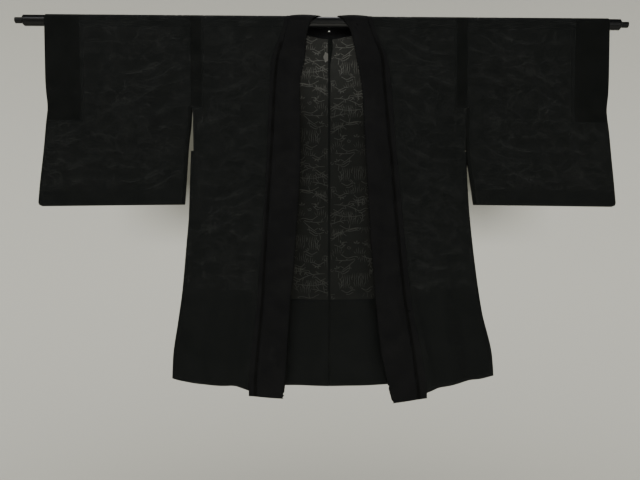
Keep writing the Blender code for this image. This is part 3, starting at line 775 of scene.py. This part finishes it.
def bough(size):
    """A long bent branch with a few twigs."""
    branch = [(size * share, size * 0.22 * math.sin(0.3 + 1.9 * share)) for share in shares(10)]
    twigs = [[(x, y), (x + size * 0.06, y + size * reach * 0.6), (x + size * 0.09, y + size * reach)]
             for (x, y), reach in zip(branch[2::2], (0.14, -0.12, 0.16, -0.1))]
    return [branch[:6], branch[5:], *twigs]


def rays(size, turns, reaches):
    """Short lines that go out from a middle."""
    return [[(reach * size * math.cos(turn), reach * size * math.sin(turn)) for reach in reaches]
            for turn in turns]


def leaves(size):
    """Three pointed leaves on one stalk."""
    return rays(size, (0.5, 1.5, 2.6), (0.15, 0.6, 1))


def blossom(size):
    """Five short petals round a middle."""
    return rays(size, np.linspace(0, math.tau, 5, endpoint=False), (0.3, 0.65, 1))


def bars(size):
    """Four short level lines, one above the other."""
    spans = ((-0.5, 0.4, -5.4), (-0.2, 0.5, -1.8), (-0.45, 0.1, 1.8), (0, 0.35, 5.4))
    return [[(size * start, height), (size * (start + end) / 2, height + 0.5), (size * end, height)]
            for start, end, height in spans]


def swirl(size):
    """A curl of one turn and a half."""
    curl = [(size * share * math.cos(9.4 * share), size * share * math.sin(9.4 * share))
            for share in np.linspace(0.2, 1, 10)]
    return [curl[:4], curl[3:7], curl[6:]]


# How often each drawing comes, its least and greatest size, how far it may be turned, the width of its
# lines and the share of that width left at their ends.
Motif = namedtuple("Motif", "draw often least greatest turn width ends")
MOTIFS = (
    Motif(reeds, 9, 13, 32, 6, 1.0, 0.3),
    Motif(hills, 2, 7, 12, 8, 1.2, 0.8),
    Motif(spray, 4, 14, 28, 12, 1.2, 0.4),
    Motif(bough, 4, 48, 84, 24, 1.4, 0.5),
    Motif(leaves, 3, 6, 11, 60, 2.6, 0.2),
    Motif(blossom, 2, 4, 7, 180, 2.2, 0.4),
    Motif(bars, 5, 9, 20, 6, 1.2, 0.6),
    Motif(swirl, 2, 4, 7, 180, 1.2, 0.6),
)


def figure_repeat():
    """One repeat of the figure, as strokes: along each shore lie water lines, and the drawings stand up
    from it or hang down."""
    uneven = random.Random(FIGURE_SEED)
    strokes = []

    def add(lines, turn, across, along, width, ends):
        strokes.extend(Stroke(turned(points, turn, across, along), width, ends) for points in lines)

    for shore, slope in SHORES:
        across = uneven.uniform(*FIRST_WATER)
        while across < REPEAT_ACROSS:
            length = uneven.uniform(*WATER_LENGTH)
            turn, stray = slope + uneven.uniform(*WATER_TURN), uneven.uniform(*WATER_STRAY)
            add(water(length), turn, across, shore + stray, WATER_WIDTH, 1)
            across += length * uneven.uniform(*WATER_EVERY)
        across = uneven.uniform(*FIRST_MOTIF)
        while across < REPEAT_ACROSS:
            motif, = uneven.choices(MOTIFS, [motif.often for motif in MOTIFS])
            size = uneven.uniform(motif.least, motif.greatest)
            way = uneven.choice((1, -1))
            turn = uneven.uniform(-1, 1) * motif.turn + 90 * (1 - way)
            lift = way * uneven.uniform(*MOTIF_LIFT)
            add(motif.draw(size), turn, across, shore + lift, motif.width, motif.ends)
            across += uneven.uniform(*MOTIF_GAP)
    return strokes


def in_outline(spot, outline_points):
    """Whether a spot lies within a closed outline: an odd number of edges lie on one side of it."""
    x, y = outline_points.T
    after_x, after_y = np.roll(x, -1), np.roll(y, -1)
    spans = (y > spot[1]) != (after_y > spot[1])
    rise = np.where(spans, after_y - y, 1)
    crossing = x + (spot[1] - y) / rise * (after_x - x)
    return bool(np.count_nonzero(spans & (crossing > spot[0])) % 2)


def figure_strokes(cloth, repeat, seed, doubled=()):
    """The figure's strokes that lie wholly on the cloth. Where the cloth is doubled no light comes
    through, and the figure doesn't show."""
    shift = random.Random(seed).uniform(0, REPEAT_ALONG)
    first, last = (math.floor(edge / REPEAT_ACROSS) for edge in (cloth.start.min(), cloth.end.max()))
    strokes = []
    for column in range(first - 1, last + 1):
        drop = REPEAT_ALONG / 2 if column % 2 else 0
        for row in range(-2, math.ceil(cloth.along[-1] / REPEAT_ALONG) + 1):
            corner = np.array([column * REPEAT_ACROSS, row * REPEAT_ALONG + drop + shift])
            strokes += [stroke._replace(points=stroke.points + corner) for stroke in repeat
                        if inside(cloth, stroke.points + corner, stroke.width).all()]
    return [stroke for stroke in strokes
            if not any(in_outline(stroke.points[end], band) for band in doubled for end in (0, -1))]


def outline(stroke):
    """The closed outline of a stroke."""
    run = np.gradient(stroke.points, axis=0)
    run /= np.linalg.norm(run, axis=1, keepdims=True)
    reach = np.interp(shares(len(run) - 1), (0, 0.4, 0.6, 1), (stroke.ends, 1, 1, stroke.ends))
    side = np.stack([-run[:, 1], run[:, 0]], axis=1) * (stroke.width / 2 * reach)[:, None]
    return np.concatenate([stroke.points - side, (stroke.points + side)[::-1]])


# ---- meshes

def add_object(name, mesh, materials):
    for made in materials:
        mesh.materials.append(made)
    mesh.shade_smooth()
    thing = bpy.data.objects.new(name, mesh)
    bpy.context.scene.collection.objects.link(thing)
    return thing


def add_built(name, mesh_data, materials):
    """An object from a bmesh, which is freed."""
    mesh = bpy.data.meshes.new(name)
    mesh_data.to_mesh(mesh)
    mesh_data.free()
    return add_object(name, mesh, materials)


def skin(mesh_data, rings):
    """Faces from each ring of points to the next."""
    for before, after in zip(rings, rings[1:]):
        for step in range(len(before)):
            following = (step + 1) % len(before)
            mesh_data.faces.new((before[step], before[following], after[following], after[step]))


def rim_of(rows, columns):
    """The numbers of a grid's points round its rim, in order."""
    grid = np.arange(rows * columns).reshape(rows, columns)
    return np.concatenate([grid[0], grid[1:, -1], grid[-1, -2::-1], grid[-2:0:-1, 0]]).tolist()


def add_gauze(name, cloth, materials, strokes=(), doubled=(), mark=()):
    """A sheet of gauze. Its figure's strokes, its doubled bands and a dyed mark are faces of their own
    that take the materials after the first. On the collar those bands are painted shade."""
    across = cloth.start[:, None] + (cloth.end - cloth.start)[:, None] * cloth.columns
    along = np.repeat(cloth.along[:, None], len(cloth.columns), axis=1)
    points = [np.stack([across, along], axis=2).reshape(-1, 2)]
    faces = [rim_of(len(cloth.along), len(cloth.columns))]
    face_slots = [0]
    count = len(points[0])
    shapes = [(outline(stroke), 1) for stroke in strokes]
    shapes += [(band, 2) for band in doubled] + [(shape, 3) for shape in mark]
    for shape, slot in shapes:
        faces.append(list(range(count, count + len(shape))))
        face_slots.append(slot)
        points.append(shape)
        count += len(shape)
    spots = [Vector(spot) for spot in np.concatenate(points)]
    placed, _, triangles, _, _, tags = delaunay_2d_cdt(spots, [], faces, 0, TOUCHING)
    kept = [(triangle, tag) for triangle, tag in zip(triangles, tags) if 0 in tag]
    corners = place(cloth, [tuple(spot) for spot in placed]) * MM
    mesh = bpy.data.meshes.new(name)
    mesh.from_pydata(corners.tolist(), [], [tri if cloth.inward > 0 else tri[::-1] for tri, _ in kept])
    mesh.polygons.foreach_set("material_index", [max(face_slots[face] for face in tag) for _, tag in kept])
    mesh.update()
    return add_object(name, mesh, materials)


# ---- materials

def set_inputs(made, node, inputs):
    """Sets or links a node's inputs, each by its name or by its number after an underscore."""
    for key, value in inputs.items():
        socket = node.inputs[int(key[1:])] if key[0] == "_" else node.inputs[key.replace("_", " ")]
        if isinstance(value, bpy.types.NodeSocket):
            made.node_tree.links.new(value, socket)
        else:
            socket.default_value = value


def add_node(made, kind, properties=(), **inputs):
    """A new node of a kind in a material."""
    node = made.node_tree.nodes.new(kind)
    for key, value in dict(properties).items():
        setattr(node, key, value)
    set_inputs(made, node, inputs)
    return node


def new_material(name, **inputs):
    """A material and its shader, with the shader's inputs set."""
    made = bpy.data.materials.new(name)
    made.use_nodes = True
    shader = made.node_tree.nodes["Principled BSDF"]
    set_inputs(made, shader, inputs)
    return made, shader


def roughen(made, shader, marks, spread, roughness, relief, strength, depth):
    """Uneven roughness from marks, whose spread is given, and bump from a relief."""
    uneven = add_node(made, "ShaderNodeMapRange", Value=marks, From_Min=spread[0], From_Max=spread[1],
                      To_Min=roughness[0], To_Max=roughness[1])
    bump = add_node(made, "ShaderNodeBump", Strength=strength, Distance=depth * MM, Height=relief)
    set_inputs(made, shader, {"Roughness": uneven.outputs[0], "Normal": bump.outputs["Normal"]})


def cloth_material(name, colour, alpha, thread):
    """Woven cloth: crossed threads as bump, uneven roughness, and one colour and alpha."""
    made, shader = new_material(name, Base_Color=(*colour, 1), Alpha=alpha, Specular_IOR_Level=0.07)
    where = add_node(made, "ShaderNodeTexCoord").outputs["Object"]
    scale = math.tau / (WAVE_RATE * thread * MM)
    waves = [add_node(made, "ShaderNodeTexWave", {"bands_direction": direction}, Vector=where, Scale=scale,
                      Distortion=0.4).outputs["Fac"] for direction in ("X", "Z")]
    threads = add_node(made, "ShaderNodeMath", {"operation": "MULTIPLY"}, _0=waves[0], _1=waves[1])
    cloudy = add_node(made, "ShaderNodeTexNoise", Vector=where, Scale=28.0, Detail=3.0).outputs["Fac"]
    roughen(made, shader, cloudy, (0.3, 0.7), CLOTH_ROUGHNESS, threads.outputs[0], strength=0.35, depth=0.2)
    return made


def rod_material(name, roughness):
    """Black enamel or plastic, with faint draw lines and handling marks in its gloss."""
    made, shader = new_material(name, Base_Color=(*ROD_BLACK, 1), IOR=1.22)
    where = add_node(made, "ShaderNodeTexCoord").outputs["Object"]
    stretched = add_node(made, "ShaderNodeMapping", Vector=where, Scale=(6, 90, 90)).outputs[0]
    marks = add_node(made, "ShaderNodeTexNoise", Vector=stretched, Scale=2.5, Detail=4.0).outputs["Fac"]
    roughen(made, shader, marks, (0.3, 0.75), roughness, marks, strength=0.08, depth=0.1)
    return made


# ---- dressing the frame

def declare(sheet, node, layers=()):
    """Ties a sheet and the layers sewn to it to the body, and hides the node that they stand for."""
    for piece in (*layers, sheet):
        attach(piece, BODY)
    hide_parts(node)


def from_end(low, high):
    """Edges at two distances from the cloth's end edge."""
    return lambda start, end, _: (end + low, end + high)


def whole_width(start, end, _):
    """Edges a little past both of a cloth's own."""
    return start - PAST, end + PAST


def turned_up(cloth, back_top, front_top):
    """Flat outlines of a strip's two ends, up to a drop of its back and one of its front."""
    return [band_outline(cloth, whole_width, -PAST, along_at(cloth, BACK, back_top)),
            band_outline(cloth, whole_width, along_at(cloth, FRONT, front_top), cloth.along[-1] + PAST)]


def leaf_outline(cloth):
    """The dyed leaf's flat outline on a body panel."""
    turns = np.linspace(0, math.tau, MARK_POINTS, endpoint=False)
    waves = 1 + LOBE_DEPTH * np.cos(MARK_LOBES * turns)
    return np.stack([MARK_ACROSS + MARK_WIDTH * waves * np.cos(turns),
                     along_at(cloth, BACK, MARK_DROP) + MARK_HEIGHT * waves * np.sin(turns)], axis=1)


def add_body(side, gauze, repeat):
    name = f"body_{side['name']}"
    cloth = body_cloth(side)
    armhole = [along_at(cloth, layer, SLEEVE_SEWN) for layer in (BACK, FRONT)]
    band = band_outline(cloth, from_end(-ARMHOLE_ALLOWANCE, PAST), *armhole)
    hems = turned_up(cloth, TURNING_TOP_BACK, TURNING_TOP_FRONT)
    strokes = figure_strokes(cloth, repeat, name, [band, *hems])
    mark = [leaf_outline(cloth)] if side is LEFT else []
    sheet = add_gauze(f"{name}_gauze", cloth, gauze, strokes, [band], mark)
    allowance = layer_on(cloth, from_end(-ARMHOLE_ALLOWANCE, SEAM_LAP), *armhole, LAYER)
    layers = [add_gauze(f"{name}_armhole_allowance", allowance, gauze[2:3])]
    if side is LEFT:
        widens = [along_at(cloth, BACK, drop) for drop in CENTRE_LAP["drop"][::-1]]

        def centre_edges(start, end, along):
            return -np.interp(along, widens, CENTRE_LAP["lap"][::-1]), CENTRE_ALLOWANCE

        centre = layer_on(cloth, centre_edges, widens[0], widens[-1], LAYER)
        layers.append(add_gauze(f"{name}_centre_allowance", centre, gauze[2:3]))
    declare(sheet, name, layers)


def add_sleeve(side, gauze, repeat):
    name = f"sleeve_{side['name']}"
    cloth = sleeve_cloth(side)
    cuff = [along_at(cloth, layer, CUFF_OPEN + FACING_PAST_CUFF) for layer in (BACK, FRONT)]
    top = SLEEVE_DROP - SLEEVE_BOTTOM_TURNING
    band = band_outline(cloth, from_end(-CUFF_FACING, PAST), *cuff)
    edges = [band_outline(cloth, lambda start, end, _: (start - PAST, start + SLEEVE_EDGE_TURNING), *ends)
             for ends in ((SHORT, along_at(cloth, BACK, SLEEVE_SEWN)),
                          (along_at(cloth, FRONT, SLEEVE_SEWN), cloth.along[-1] - SHORT))]
    strokes = figure_strokes(cloth, repeat, name, [band, *edges, *turned_up(cloth, top, top)])
    sheet = add_gauze(f"{name}_gauze", cloth, gauze[:3], strokes, [band, *edges])
    facing = layer_on(cloth, from_end(-CUFF_FACING, 0), *cuff, LAYER)
    layers = [add_gauze(f"{name}_cuff_facing", facing, gauze[2:3])]
    across_short, down_short = ALLOWANCE_SHORT
    for layer, label in ((BACK, "back"), (FRONT, "front")):
        ends = sorted(along_at(cloth, layer, drop) for drop in (top, SLEEVE_DROP - down_short))
        bottom = layer_on(cloth, lambda start, end, _: (start, end - across_short), *ends, LAYER)
        layers.append(add_gauze(f"{name}_bottom_allowance_{label}", bottom, gauze[:1]))
    declare(sheet, name, layers)


def add_gusset(side, gauze, repeat):
    name = f"gusset_{side['name']}"
    cloth = gusset_cloth(side)
    top, bottom = along_at(cloth, BACK, TURNING_TOP_BACK), cloth.along[-1] + PAST
    strokes = figure_strokes(cloth, repeat, name, [band_outline(cloth, whole_width, top, bottom)])
    sheet = add_gauze(f"{name}_gauze", cloth, gauze[:2], strokes)
    declare(sheet, name)


def collar_shade_bands(cloth):
    """Flat outlines of the collar's bands of painted shade: on each front, the painted shadow that shows
    under the flap's free edge, and all along the collar the painted shade at its fold."""
    x = cloth.points[:, :, 0]
    reached = (x[:, 0] - x[:, AT_EDGE]) / (x[:, 0] - x[:, AT_FOLD] + TINY)
    under_edge = reached * cloth.columns[AT_FOLD] * cloth.end
    bent = cloth.columns[[AT_FOLD, AT_FLAP]]

    # Painted shadow on the band's under side, on both sides of the line under the flap's free edge.
    def turning(start, end, along):
        place_across = np.interp(along, cloth.along, under_edge)
        return place_across - EDGE_SHADE_OUT, place_across + EDGE_SHADE_IN

    # Painted shade along the fold, a little past its bend on both sides.
    def fold_shade(start, end, along):
        return end * bent[0] - FOLD_SHADE_REACH, end * bent[1] + FOLD_SHADE_REACH

    fronts = cloth.along[cloth.points[:, 0, 2] < -FLAP_CLEAR]
    middle = cloth.along[len(cloth.along) // 2]
    bands = [(turning, front) for front in (fronts[fronts < middle], fronts[fronts > middle])]
    return [band_outline(cloth, edges_at, alongs[0] + SHORT, alongs[-1] - SHORT)
            for edges_at, alongs in (*bands, (fold_shade, cloth.along))]


def on_flat(cloth, strokes):
    """The strokes that lie wholly on the collar's under side or wholly on its flap."""
    fold, flap, edge = cloth.columns[[AT_FOLD, AT_FLAP, AT_EDGE]]
    kept = []
    for stroke in strokes:
        places = stroke.points[:, 0] / np.interp(stroke.points[:, 1], cloth.along, cloth.end)
        for low, high in ((0, fold), (flap, edge)):
            if low + FLAT_MARGIN < places.min() and places.max() < high - FLAT_MARGIN:
                kept.append(stroke)
    return kept


def add_collar(band, thread, repeat):
    cloth = collar_cloth()
    strokes = on_flat(cloth, figure_strokes(cloth, repeat, "collar"))
    # The collar's bands of painted shade take its third material.
    sheet = add_gauze("collar_band", cloth, band, strokes, collar_shade_bands(cloth))
    declare(sheet, "collar")
    add_tack(cloth, thread)


def add_tack(cloth, thread):
    """Three short stitches, side by side, at the middle of the neck inside the collar."""
    middle = cloth.along[len(cloth.along) // 2]
    turns = np.linspace(0, math.tau, TACK_SIDES, endpoint=False)
    mesh_data = bmesh.new()
    for stitch in (-1, 0, 1):
        rings = []
        for share in shares(TACK_STEPS):
            spot = (TACK_ACROSS + stitch * TACK_GAP, middle + TACK_LENGTH * (share - 0.5))
            centre = place(cloth, [spot], TACK_OFF + TACK_BOW * math.sin(math.pi * share))[0]
            points = [centre + TACK_RADIUS * np.array((0, math.cos(turn), math.sin(turn))) for turn in turns]
            rings.append([mesh_data.verts.new(point * MM) for point in points])
        skin(mesh_data, rings)
        mesh_data.faces.new(rings[0][::-1])
        mesh_data.faces.new(rings[-1])
    bmesh.ops.recalc_face_normals(mesh_data, faces=mesh_data.faces)
    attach(add_built("neck_tack", mesh_data, [thread]), BODY)


def add_studio():
    """A pale round floor that curves up into a wall far behind everything."""
    profile = [(WALL - BEND + BEND * math.sin(angle), FLOOR + BEND * (1 - math.cos(angle)))
               for angle in np.linspace(0, math.pi / 2, BEND_STEPS + 1)]
    profile.append((WALL, WALL_TOP))
    turns = np.linspace(0, math.tau, STUDIO_SIDES, endpoint=False)
    mesh_data = bmesh.new()
    rings = [[mesh_data.verts.new((radius * math.cos(turn), radius * math.sin(turn), height))
              for turn in turns] for radius, height in profile]
    mesh_data.faces.new(rings[0])
    skin(mesh_data, rings[::-1])
    pale, _ = new_material("studio_pale", Base_Color=(*STUDIO_PALE, 1), Roughness=0.9, Specular_IOR_Level=0.1)
    studio = add_built("studio", mesh_data, [pale])
    return studio


def add_lamp(lamp, lit):
    """A soft lamp that lights one group of objects and isn't seen itself."""
    light = bpy.data.lights.new(lamp.name, "AREA")
    light.shape, light.size, light.size_y, light.energy = "RECTANGLE", *lamp.size, lamp.power
    thing = bpy.data.objects.new(lamp.name, light)
    thing.location = lamp.place
    thing.rotation_euler = (Vector(lamp.target) - Vector(lamp.place)).to_track_quat("-Z", "Y").to_euler()
    thing.visible_camera = False
    thing.light_linking.receiver_collection = lit
    bpy.context.scene.collection.objects.link(thing)


def add_lights(studio):
    """The garment throws its shadow on the wall behind it, so its single layers show paler above the
    shadow's top than below."""
    groups = {name: bpy.data.collections.new(name + "_lit") for name in ("garment", "studio")}
    for thing in bpy.data.objects:
        if thing.type == "MESH":
            groups["studio" if thing is studio else "garment"].objects.link(thing)
    for lamp in LAMPS:
        add_lamp(lamp, groups[lamp.lit])
    world = bpy.data.worlds.new("studio_world")
    world.use_nodes = True
    background = world.node_tree.nodes["Background"]
    background.inputs["Color"].default_value = SKY_COLOUR
    background.inputs["Strength"].default_value = SKY_STRENGTH
    bpy.context.scene.world = world


def add_camera():
    """Level, opposite the garment's middle and turned a little to the right."""
    yaw = math.radians(CAMERA_YAW)
    camera = bpy.data.cameras.new("camera")
    camera.sensor_width = SENSOR_WIDTH
    camera.lens = SENSOR_WIDTH * CAMERA_DISTANCE / FRAME_WIDTH
    thing = bpy.data.objects.new("camera", camera)
    x, z = CAMERA_AIM
    thing.location = (x - CAMERA_DISTANCE * math.sin(yaw), -CAMERA_DISTANCE * math.cos(yaw), z)
    thing.rotation_euler = (math.pi / 2, 0, -yaw)
    bpy.context.scene.collection.objects.link(thing)
    bpy.context.scene.camera = thing


def dress():
    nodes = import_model()["nodes"]
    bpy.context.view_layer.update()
    add_camera()
    repeat = figure_repeat()
    finish = {name: cloth_material(name, *look) for name, look in FINISHES.items()}
    gauze = [finish[name] for name in ("gauze_ground", "gauze_figure", "gauze_doubled", "dyed_leaf")]
    for side in (LEFT, RIGHT):
        add_body(side, gauze, repeat)
        add_sleeve(side, gauze, repeat)
        add_gusset(side, gauze, repeat)
    # The collar's ground, its figure, and painted shade for its edge and fold.
    band = [finish[name] for name in ("collar_ground", "collar_figure", "collar_turning")]
    add_collar(band, finish["white_thread"], repeat)
    enamel = rod_material("rod_enamel", ENAMEL_ROUGHNESS)
    plastic = rod_material("plug_plastic", PLASTIC_ROUGHNESS)
    for node, made in (("rod_tube", enamel), ("rod_plug_left", plastic), ("rod_plug_right", plastic)):
        for slot in nodes[node].material_slots:
            slot.material = made
    add_lights(add_studio())


dress()
